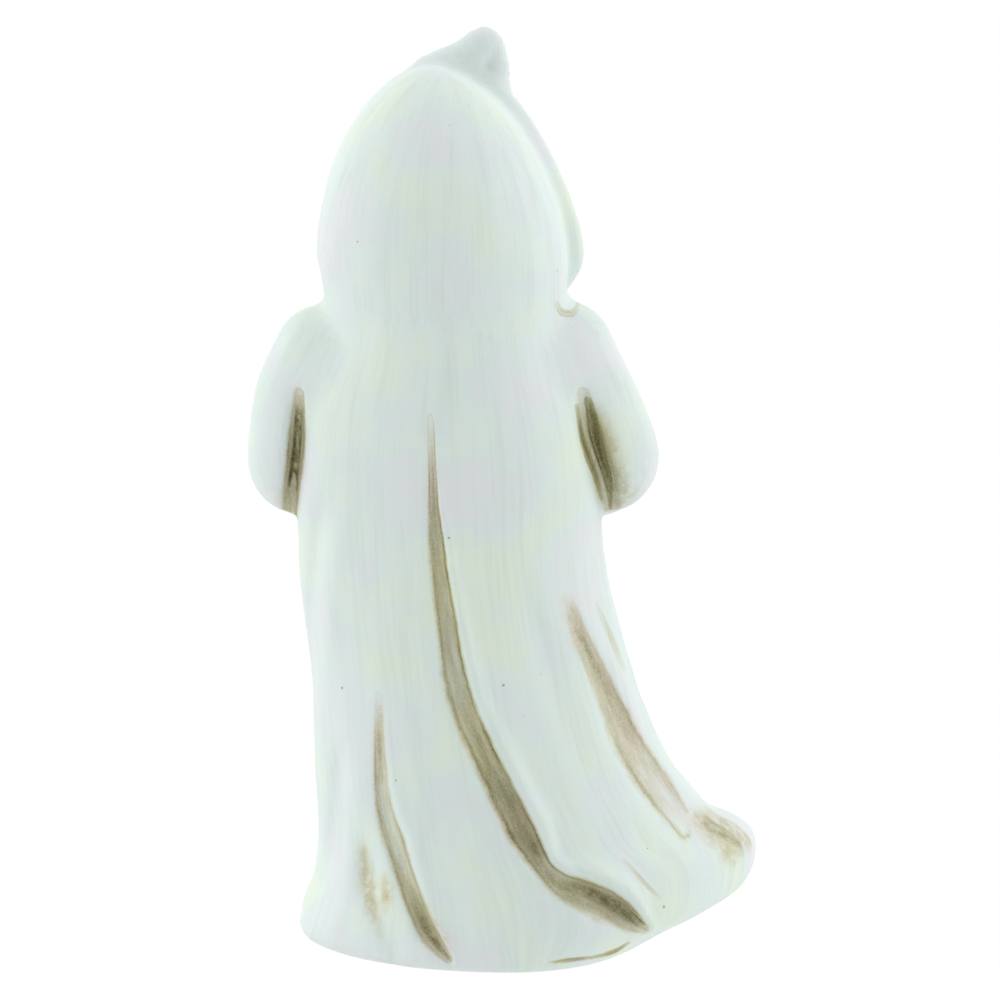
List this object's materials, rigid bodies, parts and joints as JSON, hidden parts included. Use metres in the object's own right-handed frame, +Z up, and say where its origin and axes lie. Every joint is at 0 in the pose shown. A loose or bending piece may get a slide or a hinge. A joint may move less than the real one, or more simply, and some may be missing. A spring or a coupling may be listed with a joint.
{
  "type": "halloween ghost figure",
  "caption": "Cast figure of a hooded ghost: a long robe whose train sweeps to one side, sleeves folded in front and a curled peak on the hood.",
  "frame": {"origin": "on the flat underside, straight below the middle of the hood", "axes": "+Z up, the face looks along -Y, the train sweeps to -X, which is the figure's own right"},
  "size_m": [0.1121, 0.0782, 0.1972],
  "materials": {
    "painted_resin": "cast resin brushed with matt white paint, with an olive-brown wash left in the creases"
  },
  "bodies": {
    "root": {"ghost_figure": "painted_resin"}
  },
  "joints": []
}
